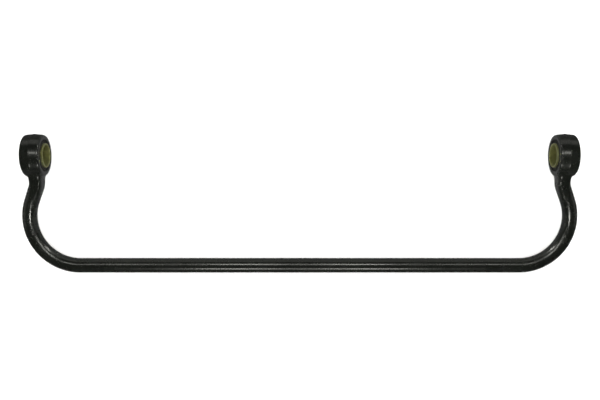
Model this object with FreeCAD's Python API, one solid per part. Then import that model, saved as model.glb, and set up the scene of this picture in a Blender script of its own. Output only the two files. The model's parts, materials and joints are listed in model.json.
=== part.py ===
import FreeCAD
import Part
import math
import os

# Sway bar (anti-roll bar) with a rubber-metal bush pressed into the eye at each end.
# Millimetres. +X runs along the bar to its right end, +Y towards the arms, +Z up.
# The origin is on the bar's axis at mid-span. The part lies as it would on a bench:
# the straight length and both eyes touch the surface, so the arms rise towards the eyes.

# ---- Bar: one round steel rod, bent ----
BAR_DIAMETER = 28.0
STRAIGHT_LENGTH = 846.0      # between the starts of the two main bends
BEND_RADIUS = 93.5           # main bend, to the centreline
LEAN_ANGLE = 20.5            # degrees that each arm leans inwards after its main bend
LEAN_LENGTH = 24.5           # straight length between the main bend and the neck's bend
NECK_BEND_RADIUS = 36.0      # bend that sets the neck square to the bar again
EYE_REACH = 212.0            # bar axis to eye axis

# ---- Neck: the rod's end, forged flatter towards the eye ----
NECK_WIDTH = 23.0            # along the bar
NECK_DEPTH = 30.0            # across the plane of the U
NECK_CORNER_RADIUS = 5.0
NECK_CROWN = 0.6             # how far each side of the section stands out in its middle
NECK_FLARE_RADIUS = 32.0     # side profile where the neck deepens into the eye
NECK_SPREAD = 3.0            # how much wider the neck gets as it enters the eye

# ---- Eye: forged ring on the end of the neck ----
EYE_WIDTH = 36.5
EYE_DIAMETER = 81.0          # beside the parting line
EYE_BORE = 60.0
EYE_OFFSET = 0.8             # eye's mid-plane, outboard of the neck's centreline
EYE_DRAFT = 4.5              # degrees, from the parting line down to each face
EYE_EDGE_RADIUS = 3.0
EYE_BORE_CHAMFER = 1.0
FLASH_WIDTH = 3.0            # trimmed flash line round the eye
FLASH_HEIGHT = 0.5

# ---- Bush: steel shell, bonded rubber, steel sleeve ----
SHELL_WALL = 2.5
SHELL_RECESS = 2.0           # each shell end, inside the eye's face
RUBBER_RECESS = 1.0          # each rubber end beside the sleeve, inside the eye's face
RUBBER_DISH = 1.4            # how far the rubber's end face dips between shell and sleeve
RUBBER_WALL = 4.5
SLEEVE_WALL = 3.0
SLEEVE_STAND_OUT = 2.75      # each sleeve end, outside the eye's face
SLEEVE_CHAMFER = 0.75
SLEEVE_CLEARANCE = 0.03      # radial, between sleeve and rubber, which turn on each other

# ---- Modelling: stations of the neck's loft, tolerance, and overrun ----
LEAN_STATIONS = ((0.0, 0.0), (0.1, 0.0), (0.55, 0.25), (1.0, 0.6))  # (share of lean, boxed)
BEND_STATIONS = ((0.5, 0.85), (1.0, 1.0))                           # (share of bend, boxed)
STATION_SPACING = 5.5        # at most, between the stations above the neck's bend
SAME_SIZE = 0.01             # lengths closer than this are the same
TOOL_OVERRUN = 1.0           # how far a cutting tool runs past the surface it opens

# ---- Sizes that follow ----
BAR_RADIUS = BAR_DIAMETER / 2
EYE_RADIUS = EYE_DIAMETER / 2
EYE_HALF_WIDTH = EYE_WIDTH / 2
EYE_FACE_RADIUS = EYE_RADIUS - EYE_HALF_WIDTH * math.tan(math.radians(EYE_DRAFT))
BORE_RADIUS = EYE_BORE / 2
SHELL_BORE_RADIUS = BORE_RADIUS - SHELL_WALL
SLEEVE_RADIUS = SHELL_BORE_RADIUS - RUBBER_WALL
SLEEVE_BORE_RADIUS = SLEEVE_RADIUS - SLEEVE_WALL
SLEEVE_HALF_LENGTH = EYE_HALF_WIDTH + SLEEVE_STAND_OUT
LEAN = math.radians(LEAN_ANGLE)
STRAIGHT_END = STRAIGHT_LENGTH / 2
REST_TILT = math.degrees(math.asin((EYE_RADIUS + FLASH_HEIGHT - BAR_RADIUS) / EYE_REACH))

X_AXIS = FreeCAD.Vector(1, 0, 0)
Z_AXIS = FreeCAD.Vector(0, 0, 1)
ORIGIN = FreeCAD.Vector(0, 0, 0)


def point(x, y, z=0.0):
    return FreeCAD.Vector(x, y, z)


# ---- The right half's centreline, in the plane of the U, before the part is laid down ----
BEND_CENTRE = point(STRAIGHT_END, BEND_RADIUS)
LEAN_DIRECTION = point(-math.sin(LEAN), math.cos(LEAN))
LEAN_NORMAL = point(math.cos(LEAN), math.sin(LEAN))
LEAN_START = BEND_CENTRE + LEAN_NORMAL * BEND_RADIUS
LEAN_END = LEAN_START + LEAN_DIRECTION * LEAN_LENGTH
NECK_BEND_CENTRE = LEAN_END + LEAN_NORMAL * NECK_BEND_RADIUS
NECK_X = NECK_BEND_CENTRE.x - NECK_BEND_RADIUS
NECK_START_Y = NECK_BEND_CENTRE.y
EYE_CENTRE = point(NECK_X + EYE_OFFSET, EYE_REACH)

# ---- The neck's sides flare along an arc that is tangent to them and to the eye's rim ----
FLARE_CENTRE_DEPTH = NECK_DEPTH / 2 + NECK_FLARE_RADIUS
FLARE_CENTRE_REACH = EYE_FACE_RADIUS + NECK_FLARE_RADIUS
FLARE_START_Y = EYE_REACH - math.sqrt(FLARE_CENTRE_REACH ** 2 - FLARE_CENTRE_DEPTH ** 2)
FLARE_SHARE = EYE_FACE_RADIUS / FLARE_CENTRE_REACH
FLARE_END_Y = EYE_REACH - (EYE_REACH - FLARE_START_Y) * FLARE_SHARE
# The neck ends inside the eye, where its corners are in the middle of the eye's wall.
WALL_MIDDLE_RADIUS = (EYE_FACE_RADIUS + BORE_RADIUS) / 2
NECK_TOP_Y = EYE_REACH - math.sqrt(WALL_MIDDLE_RADIUS ** 2 - (FLARE_CENTRE_DEPTH * FLARE_SHARE) ** 2)


def round_bar():
    """The rod from mid-span to the end of the main bend."""
    mid_bend = (math.pi / 2 + LEAN) / 2
    bend_middle = BEND_CENTRE + point(math.sin(mid_bend), -math.cos(mid_bend)) * BEND_RADIUS
    straight = Part.LineSegment(ORIGIN, point(STRAIGHT_END, 0)).toShape()
    bend = Part.Arc(point(STRAIGHT_END, 0), bend_middle, LEAN_START).toShape()
    profile = Part.Face(Part.Wire(Part.Circle(ORIGIN, X_AXIS, BAR_RADIUS).toShape()))
    return Part.Wire([straight, bend]).makePipe(profile)


def neck_section(centre, across, share, half_width, half_depth):
    """A closed section of eight arcs, from a circle (share 0) to a crowned box (share 1)."""
    split = math.radians(22.5)
    corner = NECK_CORNER_RADIUS
    reach = corner * (1 - math.sqrt(0.5))
    round_side = BAR_RADIUS * math.cos(split)
    round_step = BAR_RADIUS * math.sin(split)
    round_corner = BAR_RADIUS * math.sqrt(0.5)

    def blend(round_value, box_value):
        return round_value + (box_value - round_value) * share

    side = blend(round_side, half_width)
    side_step = blend(round_step, half_depth - corner)
    side_middle = blend(BAR_RADIUS, half_width + NECK_CROWN)
    face = blend(round_side, half_depth)
    face_step = blend(round_step, half_width - corner)
    face_middle = blend(BAR_RADIUS, half_depth + NECK_CROWN)
    corner_width = blend(round_corner, half_width - reach)
    corner_depth = blend(round_corner, half_depth - reach)

    quarter = [
        (side_middle, 0.0),
        (side, side_step),
        (corner_width, corner_depth),
        (face_step, face),
    ]
    outline = list(quarter)
    outline += [(0.0, face_middle)]
    outline += [(-u, w) for u, w in reversed(quarter[1:])]
    outline += [(-side_middle, 0.0)]
    outline += [(-u, -w) for u, w in quarter[1:]]
    outline += [(0.0, -face_middle)]
    outline += [(u, -w) for u, w in reversed(quarter[1:])]
    points = [centre + across * u + Z_AXIS * w for u, w in outline]
    count = len(points)
    arcs = []
    for i in range(1, count, 2):
        ends = (points[i], points[(i + 1) % count], points[(i + 2) % count])
        arcs.append(Part.Arc(*ends).toShape())
    return Part.Wire(arcs)


def neck_half_depth(y):
    """Half the neck's depth at height y: straight sides, then an arc that meets the eye."""
    rise = min(max(y, FLARE_START_Y), FLARE_END_Y) - FLARE_START_Y
    return NECK_DEPTH / 2 + NECK_FLARE_RADIUS - math.sqrt(NECK_FLARE_RADIUS ** 2 - rise ** 2)


def neck():
    """The forged transition: round rod, through the neck's bend, into the wall of the eye."""
    half_width = NECK_WIDTH / 2
    sections = []
    for step, share in LEAN_STATIONS:
        centre = LEAN_START + LEAN_DIRECTION * (LEAN_LENGTH * step)
        depth = neck_half_depth(centre.y)
        sections.append(neck_section(centre, LEAN_NORMAL, share, half_width, depth))
    for turned, share in BEND_STATIONS:
        angle = LEAN * (1 - turned)
        outward = point(math.cos(angle), math.sin(angle))
        centre = NECK_BEND_CENTRE - outward * NECK_BEND_RADIUS
        depth = neck_half_depth(centre.y)
        sections.append(neck_section(centre, outward, share, half_width, depth))
    steps = math.ceil((NECK_TOP_Y - NECK_START_Y) / STATION_SPACING)
    for i in range(1, steps + 1):
        climbed = i / steps
        y = NECK_START_Y + (NECK_TOP_Y - NECK_START_Y) * climbed
        width = half_width + NECK_SPREAD / 2 * climbed ** 2
        sections.append(neck_section(point(NECK_X, y), X_AXIS, 1.0, width, neck_half_depth(y)))
    return Part.makeLoft(sections, True)


def turned_ring(outline):
    """A solid of revolution about the eye's axis, from (distance along X, radius) points."""
    corners = [point(EYE_CENTRE.x + x, EYE_CENTRE.y + radius) for x, radius in outline]
    face = Part.Face(Part.makePolygon(corners + corners[:1]))
    return face.revolve(EYE_CENTRE, X_AXIS, 360)


def eye():
    """The forged ring, drafted from its flash line to both faces, with rounded rims."""
    half = EYE_HALF_WIDTH
    flash = FLASH_WIDTH / 2
    ring = turned_ring([
        (-half, 0.0),
        (-half, EYE_FACE_RADIUS),
        (-flash, EYE_RADIUS),
        (-flash / 2, EYE_RADIUS + FLASH_HEIGHT),
        (flash / 2, EYE_RADIUS + FLASH_HEIGHT),
        (flash, EYE_RADIUS),
        (half, EYE_FACE_RADIUS),
        (half, 0.0),
    ])
    rims = []
    for edge in ring.Edges:
        at_face = abs(abs(edge.CenterOfMass.x - EYE_CENTRE.x) - half) < SAME_SIZE
        if at_face and abs(edge.Length - 2 * math.pi * EYE_FACE_RADIUS) < SAME_SIZE:
            rims.append(edge)
    return ring.makeFillet(EYE_EDGE_RADIUS, rims).Solids[0]


def eye_bore():
    """The tool that opens the eye: its bore and the chamfer at each mouth."""
    half = EYE_HALF_WIDTH
    wide = BORE_RADIUS + EYE_BORE_CHAMFER
    past = half + TOOL_OVERRUN
    return turned_ring([
        (-past, 0.0),
        (-past, wide),
        (-half, wide),
        (-half + EYE_BORE_CHAMFER, BORE_RADIUS),
        (half - EYE_BORE_CHAMFER, BORE_RADIUS),
        (half, wide),
        (past, wide),
        (past, 0.0),
    ])


def bar_half():
    solid = round_bar().fuse([neck(), eye()]).cut(eye_bore()).removeSplitter()
    return solid.Solids[0]


def outer_shell():
    half = EYE_HALF_WIDTH - SHELL_RECESS
    lead = SHELL_WALL / 2
    return turned_ring([
        (-half, SHELL_BORE_RADIUS),
        (-half, BORE_RADIUS - lead / 2),
        (-half + lead, BORE_RADIUS),
        (half - lead, BORE_RADIUS),
        (half, BORE_RADIUS - lead / 2),
        (half, SHELL_BORE_RADIUS),
    ])


def rubber_ring():
    """Rubber between shell and sleeve, with a dished face at each end."""
    inner = SLEEVE_RADIUS + SLEEVE_CLEARANCE
    outer = SHELL_BORE_RADIUS
    lip = EYE_HALF_WIDTH - RUBBER_RECESS
    floor = lip - RUBBER_DISH
    middle = (inner + outer) / 2

    def place(x, radius):
        return point(EYE_CENTRE.x + x, EYE_CENTRE.y + radius)

    edges = []
    for end in (-1, 1):
        ends = (place(end * lip, inner), place(end * floor, middle), place(end * lip, outer))
        edges.append(Part.Arc(*ends).toShape())
    for radius in (inner, outer):
        edges.append(Part.LineSegment(place(-lip, radius), place(lip, radius)).toShape())
    outline = Part.Wire(Part.__sortEdges__(edges))
    return Part.Face(outline).revolve(EYE_CENTRE, X_AXIS, 360)


def inner_sleeve():
    half = SLEEVE_HALF_LENGTH
    bore = SLEEVE_BORE_RADIUS
    chamfer = SLEEVE_CHAMFER
    return turned_ring([
        (-half, bore + chamfer),
        (-half, SLEEVE_RADIUS - chamfer),
        (-half + chamfer, SLEEVE_RADIUS),
        (half - chamfer, SLEEVE_RADIUS),
        (half, SLEEVE_RADIUS - chamfer),
        (half, bore + chamfer),
        (half - chamfer, bore),
        (-half + chamfer, bore),
    ])


def lay_down(shape):
    """Turns a shape from the plane of the U to where it lies on a flat surface."""
    placed = shape.copy()
    placed.rotate(ORIGIN, X_AXIS, REST_TILT)
    return placed


RIGHT_PIECES = {
    "bar_{}_half": bar_half(),
    "{}_bush_outer_shell": outer_shell(),
    "{}_bush_rubber": rubber_ring(),
    "{}_bush_inner_sleeve": inner_sleeve(),
}

os.makedirs("parts", exist_ok=True)
for name, piece in RIGHT_PIECES.items():
    right = lay_down(piece)
    left = right.mirror(ORIGIN, X_AXIS)
    right.exportStep("parts/" + name.format("right") + ".step")
    left.exportStep("parts/" + name.format("left") + ".step")
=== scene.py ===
import json
import math
import bpy
import numpy as np
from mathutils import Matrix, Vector


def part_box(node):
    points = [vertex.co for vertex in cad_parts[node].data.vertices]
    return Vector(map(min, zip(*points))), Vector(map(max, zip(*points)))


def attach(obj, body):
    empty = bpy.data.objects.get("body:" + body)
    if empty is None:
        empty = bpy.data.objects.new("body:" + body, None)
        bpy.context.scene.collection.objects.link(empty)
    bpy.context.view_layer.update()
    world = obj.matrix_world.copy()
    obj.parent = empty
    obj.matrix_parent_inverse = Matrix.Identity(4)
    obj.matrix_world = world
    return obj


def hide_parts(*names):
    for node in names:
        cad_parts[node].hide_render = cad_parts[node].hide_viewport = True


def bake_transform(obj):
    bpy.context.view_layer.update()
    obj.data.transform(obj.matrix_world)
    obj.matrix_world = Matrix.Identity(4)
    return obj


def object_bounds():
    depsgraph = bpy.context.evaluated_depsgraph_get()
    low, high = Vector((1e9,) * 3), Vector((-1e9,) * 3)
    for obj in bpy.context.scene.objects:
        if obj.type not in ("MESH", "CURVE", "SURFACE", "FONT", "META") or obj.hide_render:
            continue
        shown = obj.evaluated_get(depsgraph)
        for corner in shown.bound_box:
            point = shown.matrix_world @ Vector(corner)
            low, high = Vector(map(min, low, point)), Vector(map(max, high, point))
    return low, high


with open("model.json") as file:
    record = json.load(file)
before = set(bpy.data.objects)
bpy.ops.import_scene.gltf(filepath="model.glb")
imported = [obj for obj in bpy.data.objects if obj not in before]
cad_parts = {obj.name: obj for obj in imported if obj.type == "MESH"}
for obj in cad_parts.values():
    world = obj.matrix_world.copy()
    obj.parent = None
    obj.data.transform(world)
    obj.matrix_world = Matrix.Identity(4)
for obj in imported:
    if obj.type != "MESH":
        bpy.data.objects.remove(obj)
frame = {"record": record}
cad_low, cad_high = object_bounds()

# Meshes are worked out for the right-hand side, in millimetres, in the plane of the U:
# x along the bar, v up the arms, w out of the plane. on_floor() lays them down in the frame.
MM = 0.001
mounts = {m["name"]: m for m in frame["record"]["mounts"]}
eye_place = Vector(mounts["right_eye"]["pos_m"])
TILT = math.atan2(eye_place.z, eye_place.y)
EYE_X = eye_place.x / MM
EYE_V = math.hypot(eye_place.y, eye_place.z) / MM
SLEEVE_BORE = mounts["right_eye"]["dims"]["r_mm"]
BAR_RADIUS = mounts["straight_length"]["dims"]["r_mm"]
STRAIGHT_END = mounts["straight_length"]["dims"]["length_mm"] / 2


def ring_size(node):
    """(outer radius, half length) of a CAD ring whose axis is along x, in millimetres."""
    low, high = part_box(node)
    return (high.y - low.y) / 2 / MM, (high.x - low.x) / 2 / MM


FLASH_RADIUS = (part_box("bar_right_half")[1].z - eye_place.z) / MM
SHELL_RADIUS, SHELL_HALF = ring_size("right_bush_outer_shell")
SHELL_RECESS = 2.0           # from the eye's face in to the shell's end
EYE_HALF = SHELL_HALF + SHELL_RECESS
RUBBER_RADIUS, RUBBER_HALF = ring_size("right_bush_rubber")
SLEEVE_RADIUS, SLEEVE_HALF = ring_size("right_bush_inner_sleeve")

# ---- Bar: path and sections ----
BEND_RADIUS = 93.5
LEAN = math.radians(20.5)
LEAN_LENGTH = 24.5
NECK_BEND_RADIUS = 36.0
NECK_HALF_WIDTH = 11.5
NECK_HALF_DEPTH = 15.0
NECK_CORNER = 5.0
NECK_CROWN = 0.6
NECK_SPREAD = 1.5
FLARE_RADIUS = 32.0
LEAN_SHARE = 0.62            # how far the section has become the neck's by the end of the lean
SECTION_POINTS = 96
SIDE_POINTS = SECTION_POINTS // 4
SECTION_REACH = 40.0         # farther out than any section goes
HALVINGS = 40
STRAIGHT_STEP = 6.0
BEND_STEP = 2.5
NECK_STEP = 1.6
WAVE = 0.035                 # how far the rolled surface wanders from true
WAVE_LENGTH = 26.0
FORGE_WAVE = 0.018           # the same on the forged neck and eye
FORGE_WAVE_LENGTH = 8.0
FORGE_START = 60.0           # below the neck, where one starts to turn into the other
FORGE_FADE = 50.0
MIDDLE_FADE = 60.0           # from mid-span, where the two halves meet without waves

# ---- Eye ----
EYE_DRAFT = math.radians(4.5)
EYE_RIM = 3.0
FLASH_HEIGHT = 0.5
FLASH_CROWN = 0.35           # the part of it that is a soft swell, and how wide that is
FLASH_CROWN_SPREAD = 3.5
FLASH_SPREAD = 0.8
FLASH_ZONE = 2.0             # to each side of the line, where the mesh is closer
EYE_RADIUS = FLASH_RADIUS - FLASH_HEIGHT
FACE_RADIUS = EYE_RADIUS - EYE_HALF * math.tan(EYE_DRAFT)
BORE_CHAMFER = 1.0
FILLET = 11.0                # reach of the fillet between neck and eye
AROUND = 90                  # divisions round the eye
WINDOW = SIDE_POINTS // 2    # divisions to each side of the neck that the fillet takes over
WINDOW_START = 35.0          # radius on the inner face where the fillet's patch begins
WINDOW_END = 12.5            # x on the barrel where it ends
LOOPS = 15                   # rows of the fillet's patch
SMOOTHING_ROUNDS = 60
SMOOTHING = 0.6
FOOT_ANGLE = math.radians(75)          # the part of the ring that is fitted to the fillet
FLASH_END = math.radians(36)           # the flash line runs out towards the neck, over the fade
FLASH_FADE = math.radians(16)
DRAFT_POWER = 1.4            # rounds the two drafted slopes together
EDGE = 0.3                   # small rounding on turned edges

BEND_CENTRE = np.array((STRAIGHT_END, BEND_RADIUS))
LEAN_NORMAL = np.array((math.cos(LEAN), math.sin(LEAN)))
LEAN_DIRECTION = np.array((-math.sin(LEAN), math.cos(LEAN)))
LEAN_START = BEND_CENTRE + LEAN_NORMAL * BEND_RADIUS
NECK_BEND_CENTRE = LEAN_START + LEAN_DIRECTION * LEAN_LENGTH + LEAN_NORMAL * NECK_BEND_RADIUS
NECK_X = NECK_BEND_CENTRE[0] - NECK_BEND_RADIUS
NECK_V = NECK_BEND_CENTRE[1]
FLARE_W = NECK_HALF_DEPTH + FLARE_RADIUS
FLARE_V = EYE_V - math.sqrt((FACE_RADIUS + FLARE_RADIUS) ** 2 - FLARE_W ** 2)
FLARE_END = EYE_V - (EYE_V - FLARE_V) * FACE_RADIUS / (FACE_RADIUS + FLARE_RADIUS)


def smooth(t):
    t = np.clip(t, 0.0, 1.0)
    return t * t * (3 - 2 * t)


def rounded(across, deep, corner):
    """Distance to a rounded right-angled edge, from the distances to its two faces."""
    q = np.maximum(across + corner, 0.0)
    r = np.maximum(deep + corner, 0.0)
    return np.hypot(q, r) + np.minimum(np.maximum(across, deep) + corner, 0.0) - corner


def section_distance(u, w, half_u, half_w, corner, crown):
    """Distance to the neck's crowned box section, or to a circle if all sizes are the same."""
    bulge_u = crown * (1 - np.clip(w / half_w, -1, 1) ** 2)
    bulge_w = crown * (1 - np.clip(u / half_u, -1, 1) ** 2)
    return rounded(np.abs(u) - half_u - bulge_u, np.abs(w) - half_w - bulge_w, corner)


def section(half_u, half_w, corner, crown):
    """Points (u, w) round a section, in order, starting at +u."""
    turn = np.arange(SECTION_POINTS) * 2 * math.pi / SECTION_POINTS
    du, dw = half_u * np.cos(turn), half_w * np.sin(turn)
    size = np.hypot(du, dw)
    du, dw = du / size, dw / size
    low, high = np.zeros(SECTION_POINTS), np.full(SECTION_POINTS, SECTION_REACH)
    for _ in range(HALVINGS):
        middle = (low + high) / 2
        outside = section_distance(du * middle, dw * middle, half_u, half_w, corner, crown) > 0
        high = np.where(outside, middle, high)
        low = np.where(outside, low, middle)
    return du * low, dw * low


def half_depth(v):
    """Half the neck's depth at height v, with the flare that runs into the eye."""
    rise = np.clip(v, FLARE_V, FLARE_END) - FLARE_V
    return NECK_HALF_DEPTH + FLARE_RADIUS - np.sqrt(FLARE_RADIUS ** 2 - rise ** 2)


def outline_distance(v, w):
    """Distance in the side view to the neck with its flares and the eye."""
    side = np.abs(w)
    to_centre = np.hypot(v - FLARE_V, side - FLARE_W)
    eye = np.hypot(v - EYE_V, w) - FACE_RADIUS
    flare = FLARE_RADIUS - to_centre
    cross = (v - FLARE_V) * (0 - FLARE_W) - (side - FLARE_W) * (EYE_V - FLARE_V)
    return np.where(v < FLARE_V, side - NECK_HALF_DEPTH, np.where(cross > 0, flare, eye))


def neck_distance(p):
    """Distance to the neck, which widens a little towards the eye."""
    x, v, w = p[:, 0], p[:, 1], p[:, 2]
    climbed = np.clip((v - NECK_V) / (EYE_V - FACE_RADIUS / 2 - NECK_V), 0, 1)
    half_u = NECK_HALF_WIDTH + NECK_SPREAD * climbed ** 2
    u = x - NECK_X
    bulge_u = NECK_CROWN * (1 - np.clip(w / half_depth(v), -1, 1) ** 2)
    bulge_w = NECK_CROWN * (1 - np.clip(u / half_u, -1, 1) ** 2)
    fade = 1 - climbed
    return rounded(np.abs(u) - half_u - bulge_u, outline_distance(v, w) - bulge_w * fade, NECK_CORNER)


def barrel_radius(x, away):
    """The eye's outer radius: drafted to both faces, with the trimmed flash line."""
    share = np.clip(np.abs(x) / EYE_HALF, 0, 1)
    ridge = FLASH_CROWN * np.exp(-(x / FLASH_CROWN_SPREAD) ** 2)
    ridge = ridge + (FLASH_HEIGHT - FLASH_CROWN) * np.exp(-(x / FLASH_SPREAD) ** 4)
    return FACE_RADIUS + (EYE_RADIUS - FACE_RADIUS) * (1 - share ** DRAFT_POWER) + ridge * away


def eye_distance(p):
    """Distance to the eye's ring, without its bore."""
    x, v, w = p[:, 0] - EYE_X, p[:, 1] - EYE_V, p[:, 2]
    away = smooth((np.abs(np.arctan2(w, -v)) - FLASH_END) / FLASH_FADE)
    return rounded(np.hypot(v, w) - barrel_radius(x, away), np.abs(x) - EYE_HALF, EYE_RIM)


def slope(distance, p, step=0.02):
    """The gradient of a distance function at each point."""
    nudges = np.eye(3) * step
    return np.stack([(distance(p + n) - distance(p - n)) / (2 * step) for n in nudges], 1)


def unit(a):
    return a / np.maximum(np.linalg.norm(a, axis=1, keepdims=True), 1e-9)


def body_distance(p):
    """Neck and eye as one body; the fillet fades where their surfaces run together."""
    a, b = neck_distance(p), eye_distance(p)
    along = (unit(slope(neck_distance, p)) * unit(slope(eye_distance, p))).sum(1)
    reach = np.maximum(FILLET * np.clip(1 - along, 0, 1), 1e-3)
    near = np.clip(1 - np.abs(a - b) / reach, 0, 1)
    return np.minimum(a, b) - near ** 3 * reach / 6


def onto_body(p, rounds=4):
    """Moves points onto the surface of neck and eye."""
    for _ in range(rounds):
        g = slope(body_distance, p)
        p = p - g * (body_distance(p) / np.maximum((g * g).sum(1), 0.2))[:, None]
    return p


def steps(start, end, count):
    """Evenly spaced values up to the end, without the start."""
    return [start + (end - start) * i / count for i in range(1, count + 1)]


def bar_rings():
    """The sections from mid-span to the foot of the eye, as (x, v, w) arrays."""
    rings = []

    def add(centre, outward, half_u, half_w, corner, crown):
        u, w = section(half_u, half_w, corner, crown)
        rings.append(np.stack([centre[0] + outward[0] * u, centre[1] + outward[1] * u, w], 1))

    def mixed(centre, outward, share):
        depth = float(half_depth(np.array(centre[1])))
        mix = lambda box: BAR_RADIUS + (box - BAR_RADIUS) * share
        add(centre, outward, mix(NECK_HALF_WIDTH), mix(depth), mix(NECK_CORNER), NECK_CROWN * share)

    for x in [0.0] + steps(0.0, STRAIGHT_END, round(STRAIGHT_END / STRAIGHT_STEP)):
        add((x, 0.0), (0.0, -1.0), BAR_RADIUS, BAR_RADIUS, BAR_RADIUS, 0)
    sweep = math.pi / 2 + LEAN
    for t in steps(0.0, sweep, round(sweep * BEND_RADIUS / BEND_STEP)):
        outward = np.array((math.sin(t), -math.cos(t)))
        add(BEND_CENTRE + outward * BEND_RADIUS, outward, BAR_RADIUS, BAR_RADIUS, BAR_RADIUS, 0)
    for t in steps(0.0, 1.0, round(LEAN_LENGTH / NECK_STEP)):
        mixed(LEAN_START + LEAN_DIRECTION * LEAN_LENGTH * t, LEAN_NORMAL, LEAN_SHARE * float(smooth(t)))
    for t in steps(0.0, 1.0, round(LEAN * NECK_BEND_RADIUS / NECK_STEP)):
        turn = LEAN * (1 - t)
        outward = np.array((math.cos(turn), math.sin(turn)))
        share = LEAN_SHARE + (1 - LEAN_SHARE) * (1 - (1 - t) ** 2)
        mixed(NECK_BEND_CENTRE - outward * NECK_BEND_RADIUS, outward, share)
    return rings


def corner_points(before, corner, after, radius, count):
    """Points on the arc that rounds off a corner of a profile."""
    a = np.array(before, float) - corner
    b = np.array(after, float) - corner
    a, b = a / np.linalg.norm(a), b / np.linalg.norm(b)
    half = math.acos(float(np.clip(a @ b, -1, 1))) / 2
    middle = np.array(corner) + (a + b) / np.linalg.norm(a + b) * radius / math.sin(half)
    start = np.array(corner) + a * radius / math.tan(half) - middle
    end = np.array(corner) + b * radius / math.tan(half) - middle
    total = math.pi - 2 * half
    points = []
    for i in range(count + 1):
        t = i / count
        blend = start * math.sin((1 - t) * total) + end * math.sin(t * total)
        points.append(middle + blend / math.sin(total))
    return [tuple(p) for p in points]


def round_profile(corners, count=3):
    """A closed (x, radius) profile from (x, radius, rounding) corners."""
    points = []
    for i, (x, r, rounding) in enumerate(corners):
        before, after = corners[i - 1][:2], corners[(i + 1) % len(corners)][:2]
        if rounding:
            points += corner_points(before, (x, r), after, rounding, count)
        else:
            points.append((x, r))
    return points


def eye_profile():
    """The closed profile of the eye, starting where the fillet's patch starts on the inner face.

    Also the number of its cells that the patch takes over. A radius of None is the barrel's own.
    """
    rim_face = FACE_RADIUS - EYE_RIM
    turns = [math.pi / 2 * i / 5 for i in range(6)]
    quarter = [(-math.cos(t) * EYE_RIM, math.sin(t) * EYE_RIM) for t in turns]
    barrel_start = EYE_RIM - EYE_HALF
    window = [(-EYE_HALF, WINDOW_START)]
    window += [(barrel_start + a, rim_face + b) for a, b in quarter]
    window += [(x, None) for x in steps(barrel_start, -FLASH_ZONE, 6)]
    window += [(x, None) for x in steps(-FLASH_ZONE, FLASH_ZONE, 8)]
    window += [(x, None) for x in steps(FLASH_ZONE, WINDOW_END, 4)]
    rest = [(EYE_HALF - EYE_RIM, None)]
    rest += [(EYE_HALF - EYE_RIM - a, rim_face + b) for a, b in reversed(quarter[:-1])]
    mouth = BORE_CHAMFER + SHELL_RADIUS
    bore = round_profile([
        (EYE_HALF, mouth, EDGE), (EYE_HALF - BORE_CHAMFER, SHELL_RADIUS, EDGE),
        (BORE_CHAMFER - EYE_HALF, SHELL_RADIUS, EDGE), (-EYE_HALF, mouth, EDGE)])
    profile = window + rest + [(EYE_HALF, WINDOW_START), (EYE_HALF, mouth + 1)] + bore
    profile += [(-EYE_HALF, mouth + 1), (-EYE_HALF, (mouth + WINDOW_START) / 2 + 0.5)]
    points = []
    for x, r in profile:
        if r is None:
            r = float(barrel_radius(np.array(x), 1.0))
        points.append((x, r))
    return points, len(window) - 1


def waves(p, size, length):
    """A slow wander of the surface, along its own normal."""
    a = np.sin(p[:, 0] / length + 1.3 * np.sin(p[:, 1] / length * 0.7)) * np.sin(p[:, 1] / length * 1.1 + 0.6)
    b = np.sin((p[:, 2] * 1.7 + p[:, 0] * 0.6) / length + 2.1) * np.cos((p[:, 1] - p[:, 2]) / length * 0.8)
    return size * (a + b) / 2


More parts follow.
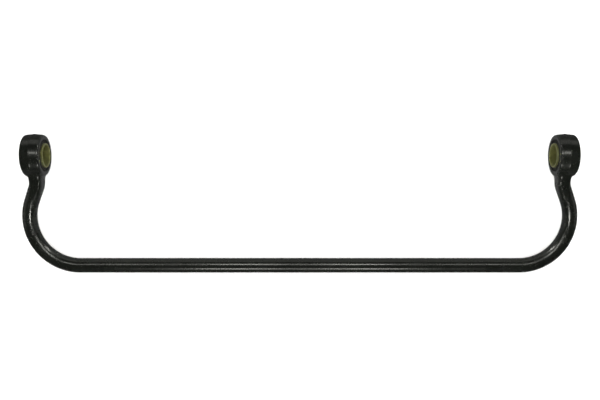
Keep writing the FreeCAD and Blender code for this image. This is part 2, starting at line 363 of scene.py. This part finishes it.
def bar_mesh():
    """The right-hand half of the bar with its eye, as one closed skin that is open at mid-span."""
    faces = []
    rings = bar_rings()
    count = SECTION_POINTS
    for i in range(len(rings) - 1):
        for j in range(count):
            k = (j + 1) % count
            faces.append((i * count + j, i * count + k, (i + 1) * count + k, (i + 1) * count + j))
    foot = (len(rings) - 1) * count
    start = len(rings) * count

    profile, window_cells = eye_profile()
    columns = len(profile)
    turn = np.arange(AROUND) * 2 * math.pi / AROUND
    grid = np.zeros((AROUND, columns, 3))
    for c, (x, r) in enumerate(profile):
        grid[:, c] = np.stack([np.full(AROUND, EYE_X + x), EYE_V - r * np.cos(turn), r * np.sin(turn)], 1)
    number = {}
    kept = []
    for a in range(AROUND):
        from_neck = (a + AROUND // 2) % AROUND - AROUND // 2
        for c in range(columns):
            if not (abs(from_neck) < WINDOW and 0 < c < window_cells):
                number[a, c] = start + len(kept)
                kept.append(grid[a, c])
    eye = np.array(kept)
    for a in range(AROUND):
        from_neck = (a + AROUND // 2) % AROUND - AROUND // 2
        b = (a + 1) % AROUND
        for c in range(columns):
            d = (c + 1) % columns
            if not (-WINDOW <= from_neck < WINDOW and c < window_cells):
                faces.append(tuple(number[k] for k in ((a, c), (b, c), (b, d), (a, d))))

    # The patch between the neck's last section and the window in the eye.
    span = range(-WINDOW, WINDOW)
    edge = [(a % AROUND, window_cells) for a in span]
    edge += [(WINDOW, c) for c in range(window_cells, 0, -1)]
    edge += [(-a % AROUND, 0) for a in span]
    edge += [(-WINDOW % AROUND, c) for c in range(0, window_cells)]
    edge = edge[WINDOW:] + edge[:WINDOW]
    edge_ids = [number[k] for k in edge]
    eye_r = np.hypot(eye[:, 1] - EYE_V, eye[:, 2])
    outer = (eye_r > WINDOW_START - 1.5) & (np.abs(np.arctan2(eye[:, 2], EYE_V - eye[:, 1])) < FOOT_ANGLE)
    eye[outer] = onto_body(eye[outer])
    first = rings[-1]
    last = eye[[i - start for i in edge_ids]]
    loops = np.array([first + (last - first) * i / LOOPS for i in range(LOOPS + 1)])
    for n in range(SMOOTHING_ROUNDS):
        inner = loops[1:-1]
        average = (loops[:-2] + loops[2:] + np.roll(inner, 1, 1) + np.roll(inner, -1, 1)) / 4
        inner = inner + (average - inner) * SMOOTHING
        if n % 3 == 2:
            inner = onto_body(inner.reshape(-1, 3), 2).reshape(inner.shape)
        loops[1:-1] = inner
    loops[1:-1] = onto_body(loops[1:-1].reshape(-1, 3), 5).reshape(loops[1:-1].shape)
    patch_start = start + len(eye)
    ids = [[foot + j for j in range(count)]]
    ids += [[patch_start + i * count + j for j in range(count)] for i in range(LOOPS - 1)]
    ids.append(edge_ids)
    for low, high in zip(ids, ids[1:]):
        for j in range(count):
            k = (j + 1) % count
            faces.append((low[j], low[k], high[k], high[j]))
    return np.concatenate(rings + [eye, loops[1:-1].reshape(-1, 3)]), np.array(faces)


def on_floor(p):
    """From the plane of the U, in millimetres, to the frame, in metres."""
    c, s = math.cos(TILT), math.sin(TILT)
    return np.stack([p[:, 0], p[:, 1] * c - p[:, 2] * s, p[:, 1] * s + p[:, 2] * c], 1) * MM


def mirrored(points, faces):
    """The left-hand twin, and one list of both, joined where x is 0."""
    middle = np.abs(points[:, 0]) < 1e-6
    twin = np.where(middle, np.arange(len(points)), 0)
    twin[~middle] = len(points) + np.arange((~middle).sum())
    both = np.concatenate([points, points[~middle] * (-1, 1, 1)])
    return both, np.concatenate([faces, twin[faces][:, ::-1]])


def facing_out(points, faces):
    """The closed mesh's faces, turned to face out, and its normals, weighted by face area."""
    a, b, c, d = (points[faces[:, k]] for k in range(4))
    normal = np.cross(c - a, d - b)
    if ((a + b + c + d) * normal).sum() < 0:
        faces, normal = faces[:, ::-1], -normal
    at = np.zeros_like(points)
    for k in range(4):
        np.add.at(at, faces[:, k], normal)
    return faces, unit(at)


def make(name, points, faces, material):
    """A smooth closed piece that keeps each point's first place, for its material."""
    faces, normals = facing_out(points, faces)
    mesh = bpy.data.meshes.new(name)
    mesh.from_pydata(points.tolist(), [], faces.tolist())
    mesh.update()
    mesh.shade_smooth()
    mesh.normals_split_custom_set_from_vertices(normals.tolist())
    rest = mesh.attributes.new("rest_place", "FLOAT_VECTOR", "POINT")
    rest.data.foreach_set("vector", points.astype(np.float32).ravel())
    mesh.materials.append(material)
    obj = bpy.data.objects.new(name, mesh)
    bpy.context.scene.collection.objects.link(obj)
    return obj


def bar_with_waves(points, faces):
    """The bar's skin with its unevenness, which only goes inwards. The bore stays true."""
    at = facing_out(points, faces)[1]
    r = np.hypot(points[:, 1] - EYE_V, points[:, 2])
    outer = (r > SHELL_RADIUS + BORE_CHAMFER + 1)
    forged = smooth((points[:, 1] - NECK_V + FORGE_START) / FORGE_FADE)
    rolled = waves(points, WAVE, WAVE_LENGTH) * (1 - forged)
    size = rolled + waves(points, FORGE_WAVE, FORGE_WAVE_LENGTH) * forged
    size = size - np.abs(size).max()
    middle = smooth(points[:, 0] / MIDDLE_FADE)
    return points + at * (size * outer * middle)[:, None]


def lathe(profile, around=144):
    """A ring about the right eye's axis from a closed (x, radius) profile."""
    turn = np.arange(around) * 2 * math.pi / around
    points = []
    for x, r in profile:
        points.append(np.stack([np.full(around, EYE_X + x), EYE_V - r * np.cos(turn), r * np.sin(turn)], 1))
    count = len(profile)
    faces = []
    for i in range(count):
        for j in range(around):
            k, m = (j + 1) % around, (i + 1) % count
            faces.append((i * around + j, i * around + k, m * around + k, m * around + j))
    return np.concatenate(points), np.array(faces)


def add_pair(name, body, nodes, profile, material):
    """One ring for each eye, each on its body and in place of its CAD node."""
    points, faces = lathe(profile)
    for side, sign in (("right", 1), ("left", -1)):
        obj = make(side + name, on_floor(points * (sign, 1, 1)), faces, material)
        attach(obj, body.format(side))
        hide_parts(nodes.format(side))


# ---- Materials ----
class Nodes:
    """A few helpers for writing a material's node tree."""

    def __init__(self, name):
        self.material = bpy.data.materials.new(name)
        self.material.use_nodes = True
        self.tree = self.material.node_tree
        self.shader = self.tree.nodes["Principled BSDF"]
        self.place = self.new("ShaderNodeAttribute")
        self.place.attribute_name = "rest_place"

    def new(self, kind):
        return self.tree.nodes.new(kind)

    def set(self, socket, value):
        self.shader.inputs[socket].default_value = value

    def link(self, a, b):
        self.tree.links.new(a, b)

    def noise(self, scale, detail=4.0, roughness=0.55, stretch=(1, 1, 1)):
        mapping = self.new("ShaderNodeMapping")
        mapping.inputs["Scale"].default_value = stretch
        self.link(self.place.outputs["Vector"], mapping.inputs["Vector"])
        node = self.new("ShaderNodeTexNoise")
        node.inputs["Scale"].default_value = scale
        node.inputs["Detail"].default_value = detail
        node.inputs["Roughness"].default_value = roughness
        self.link(mapping.outputs["Vector"], node.inputs["Vector"])
        return node.outputs["Fac"]

    def ramp(self, value, stops):
        node = self.new("ShaderNodeValToRGB")
        ramp = node.color_ramp
        while len(ramp.elements) < len(stops):
            ramp.elements.new(0.5)
        for element, (at, colour) in zip(ramp.elements, stops):
            element.position = at
            element.color = colour + (1.0,)
        self.link(value, node.inputs["Fac"])
        return node.outputs["Color"]

    def range(self, value, low, high, start=0.0, end=1.0):
        node = self.new("ShaderNodeMapRange")
        node.inputs["From Min"].default_value = start
        node.inputs["From Max"].default_value = end
        node.inputs["To Min"].default_value = low
        node.inputs["To Max"].default_value = high
        self.link(value, node.inputs["Value"])
        return node.outputs["Result"]

    def bump(self, heights):
        """Several (height, strength, distance) layers, one on the other."""
        after = None
        for height, strength, distance in heights:
            node = self.new("ShaderNodeBump")
            node.inputs["Strength"].default_value = strength
            node.inputs["Distance"].default_value = distance
            self.link(height, node.inputs["Height"])
            if after is not None:
                self.link(after, node.inputs["Normal"])
            after = node.outputs["Normal"]
        self.link(after, self.shader.inputs["Normal"])


def bar_paint():
    m = Nodes("bar_paint")
    blotch = m.noise(14.0, 5.0, 0.6)
    fine = m.noise(420.0, 3.0, 0.5)
    m.link(m.ramp(blotch, [(0.35, (0.0036, 0.0043, 0.0032)), (0.7, (0.006, 0.0072, 0.0052))]),
           m.shader.inputs["Base Color"])
    m.link(m.range(m.noise(38.0, 4.0, 0.6), 0.2, 0.33, 0.3, 0.72), m.shader.inputs["Roughness"])
    m.set("Coat Weight", 0.35)
    m.set("Coat Roughness", 0.12)
    m.bump([(fine, 0.08, 0.00025), (m.noise(95.0, 3.0, 0.5), 0.07, 0.0006)])
    return m.material


def shell_steel():
    m = Nodes("shell_steel")
    m.set("Metallic", 0.85)
    m.link(m.ramp(m.noise(60.0, 5.0), [(0.35, (0.02, 0.02, 0.018)), (0.7, (0.045, 0.043, 0.036))]),
           m.shader.inputs["Base Color"])
    m.link(m.range(m.noise(160.0), 0.38, 0.55), m.shader.inputs["Roughness"])
    m.bump([(m.noise(500.0), 0.1, 0.0002)])
    return m.material


def bush_rubber():
    m = Nodes("bush_rubber")
    m.link(m.ramp(m.noise(70.0, 5.0), [(0.3, (0.009, 0.0095, 0.007)), (0.75, (0.018, 0.019, 0.013))]),
           m.shader.inputs["Base Color"])
    m.link(m.range(m.noise(180.0), 0.5, 0.72), m.shader.inputs["Roughness"])
    m.bump([(m.noise(900.0), 0.2, 0.0003), (m.noise(240.0), 0.15, 0.0004)])
    return m.material


def sleeve_zinc():
    m = Nodes("sleeve_zinc")
    m.set("Metallic", 0.9)
    m.link(m.ramp(m.noise(45.0, 4.0),
                  [(0.3, (0.30, 0.31, 0.12)), (0.55, (0.40, 0.40, 0.18)), (0.8, (0.36, 0.42, 0.24))]),
           m.shader.inputs["Base Color"])
    m.link(m.range(m.noise(90.0, 4.0), 0.22, 0.4), m.shader.inputs["Roughness"])
    m.bump([(m.noise(30.0, 3.0, 0.6, (90.0, 1.0, 1.0)), 0.15, 0.0002)])
    return m.material


# ---- The bar: one mesh for both halves, joined at mid-span ----
half_points, half_faces = bar_mesh()
half_points = bar_with_waves(half_points, half_faces)
all_points, all_faces = mirrored(half_points, half_faces)
bar = make("bar", on_floor(all_points), all_faces, bar_paint())
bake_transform(bar)
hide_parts("bar_left_half", "bar_right_half")

# ---- The bushes ----
SHELL_EDGE = 0.35
RUBBER_DISH = 1.4
DISH_POINTS = 13
DISH_POWER = 0.8             # below 1, the dish is flatter in its middle
RUBBER_GAP = 0.03            # round the sleeve
SLEEVE_CHAMFER = 0.75
MOUTH_EDGE = 0.4
BORE_EDGE = 0.9

lead = (SHELL_RADIUS - RUBBER_RADIUS) / 2
shell_profile = round_profile([
    (-SHELL_HALF, RUBBER_RADIUS, SHELL_EDGE), (SHELL_HALF, RUBBER_RADIUS, SHELL_EDGE),
    (SHELL_HALF, SHELL_RADIUS - lead / 2, EDGE), (SHELL_HALF - lead, SHELL_RADIUS, EDGE),
    (lead - SHELL_HALF, SHELL_RADIUS, EDGE), (-SHELL_HALF, SHELL_RADIUS - lead / 2, EDGE)])
rubber_bore = SLEEVE_RADIUS + RUBBER_GAP
dish = []
for i in range(DISH_POINTS):
    t = i / (DISH_POINTS - 1)
    x = RUBBER_HALF - RUBBER_DISH * math.sin(math.pi * t) ** DISH_POWER
    dish.append((x, rubber_bore + (RUBBER_RADIUS - rubber_bore) * t))
rubber_profile = [(-x, r) for x, r in dish] + [(0.0, RUBBER_RADIUS)] + dish[::-1] + [(0.0, rubber_bore)]
mouth, outside = SLEEVE_BORE + SLEEVE_CHAMFER, SLEEVE_RADIUS - SLEEVE_CHAMFER
shoulder = SLEEVE_HALF - SLEEVE_CHAMFER
sleeve_profile = round_profile([
    (-SLEEVE_HALF, mouth, MOUTH_EDGE), (-SLEEVE_HALF, outside, EDGE),
    (-shoulder, SLEEVE_RADIUS, EDGE), (shoulder, SLEEVE_RADIUS, EDGE),
    (SLEEVE_HALF, outside, EDGE), (SLEEVE_HALF, mouth, MOUTH_EDGE),
    (shoulder, SLEEVE_BORE, BORE_EDGE), (-shoulder, SLEEVE_BORE, BORE_EDGE)], 4)
add_pair("_shell", "{}_half", "{}_bush_outer_shell", shell_profile, shell_steel())
add_pair("_rubber", "{}_half", "{}_bush_rubber", rubber_profile, bush_rubber())
add_pair("_sleeve", "{}_sleeve", "{}_bush_inner_sleeve", sleeve_profile, sleeve_zinc())

# ---- Camera, straight above the part and looking down ----
CAMERA_HEIGHT = 1.438
CAMERA_X = 0.0005
CAMERA_Y = 0.1259
LENS = 44.7
SENSOR = 36.0


def add_camera():
    data = bpy.data.cameras.new("camera")
    data.lens = LENS
    data.sensor_width = SENSOR
    camera = bpy.data.objects.new("camera", data)
    camera.location = (CAMERA_X, CAMERA_Y, CAMERA_HEIGHT)
    bpy.context.scene.collection.objects.link(camera)
    bpy.context.scene.camera = camera


# ---- Floor and light ----
FLOOR_REACH = 6.0
WORLD_STRENGTH = 1.5
TABLETOP_DEPTH = 0.002
TABLETOP_GLOW = 0.09
INNER_DEPTH = 0.001          # the lighter part of the tabletop, between the arms
INNER_GLOW = 0.22
INNER_CORNERS = ((-0.50, 0.0), (0.50, 1.2))
PANEL_TINT = (1.0, 1.0, 0.93)
PANELS = (   # name, place, size, turn, spread in degrees, radiance; each has a twin at -x
    ("back_inner", (0.21, 0.47, 1.44), (0.24, 0.22), (0, 0), 180, 14.5),
    ("back_outer", (0.72, 0.47, 1.44), (0.30, 0.22), (0, 0), 180, 6.0),
    ("front", (0.34, -2.1, 1.44), (0.40, 0.5), (50, 0), 180, 12.0),
    ("arm", (-0.06, -0.36, 1.44), (0.34, 0.20), (16.3, -21.7), 10, 0.25),
    ("bend", (-1.4, 2.2, 1.44), (0.3, 0.4), (-42.5, -52.7), 20, 0.6),
    ("low_side", (2.6, 0.1, 0.6), (0.6, 1.4), (0, 80), 180, 0.7),
    ("low_back", (1.3, 2.8, 0.8), (2.6, 1.4), (-75, 0), 180, 0.5),
)


def add_floor(name, depth, material, low=(-FLOOR_REACH, -FLOOR_REACH), high=(FLOOR_REACH, FLOOR_REACH)):
    """A plain level surface, under the lowest point of the part by that depth."""
    z = cad_low.z - depth
    corners = [(low[0], low[1], z), (high[0], low[1], z), (high[0], high[1], z), (low[0], high[1], z)]
    mesh = bpy.data.meshes.new(name)
    mesh.from_pydata(corners, [], [(0, 1, 2, 3)])
    mesh.materials.append(material)
    floor = bpy.data.objects.new(name, mesh)
    bpy.context.scene.collection.objects.link(floor)
    return floor


def white_floor():
    """The floor that the camera sees. It isn't reflected, as in a picture cut out on white."""
    m = Nodes("floor")
    m.link(m.ramp(m.noise(3.0), [(0.0, (0.9, 0.9, 0.9)), (1.0, (0.94, 0.94, 0.94))]),
           m.shader.inputs["Base Color"])
    m.set("Roughness", 1.0)
    m.set("Specular IOR Level", 0.0)
    add_floor("floor", 0.0, m.material).visible_glossy = False


def reflected_floor(name, depth, glow, *corners):
    """A dim tabletop that only reflections see."""
    m = Nodes(name)
    m.set("Base Color", (0, 0, 0, 1))
    m.set("Specular IOR Level", 0.0)
    m.set("Emission Color", (1, 1, 1, 1))
    m.set("Emission Strength", glow)
    floor = add_floor(name, depth, m.material, *corners)
    floor.visible_camera = False
    floor.visible_diffuse = False
    floor.visible_shadow = False


def add_light(name, place, size, turn, spread, radiance):
    """A soft panel; turn is its rotation about x and y, in degrees, from facing straight down."""
    data = bpy.data.lights.new(name, "AREA")
    data.shape = "RECTANGLE"
    data.size, data.size_y = size
    data.energy = radiance * math.pi * size[0] * size[1]
    data.color = PANEL_TINT
    data.spread = math.radians(spread)
    light = bpy.data.objects.new(name, data)
    light.location = place
    light.rotation_euler = [math.radians(a) for a in turn] + [0]
    bpy.context.scene.collection.objects.link(light)


add_camera()
white_floor()
reflected_floor("tabletop", TABLETOP_DEPTH, TABLETOP_GLOW)
reflected_floor("inner_tabletop", INNER_DEPTH, INNER_GLOW, *INNER_CORNERS)
bpy.context.scene.view_settings.view_transform = "Standard"
world = bpy.data.worlds.new("world")
world.use_nodes = True
background = world.node_tree.nodes["Background"]
background.inputs["Color"].default_value = (1, 1, 1, 1)
background.inputs["Strength"].default_value = WORLD_STRENGTH
world.cycles_visibility.glossy = False
bpy.context.scene.world = world
for name, (x, y, z), size, (tip, lean), spread, radiance in PANELS:
    add_light(name + "_right", (x, y, z), size, (tip, lean), spread, radiance)
    add_light(name + "_left", (-x, y, z), size, (tip, -lean), spread, radiance)
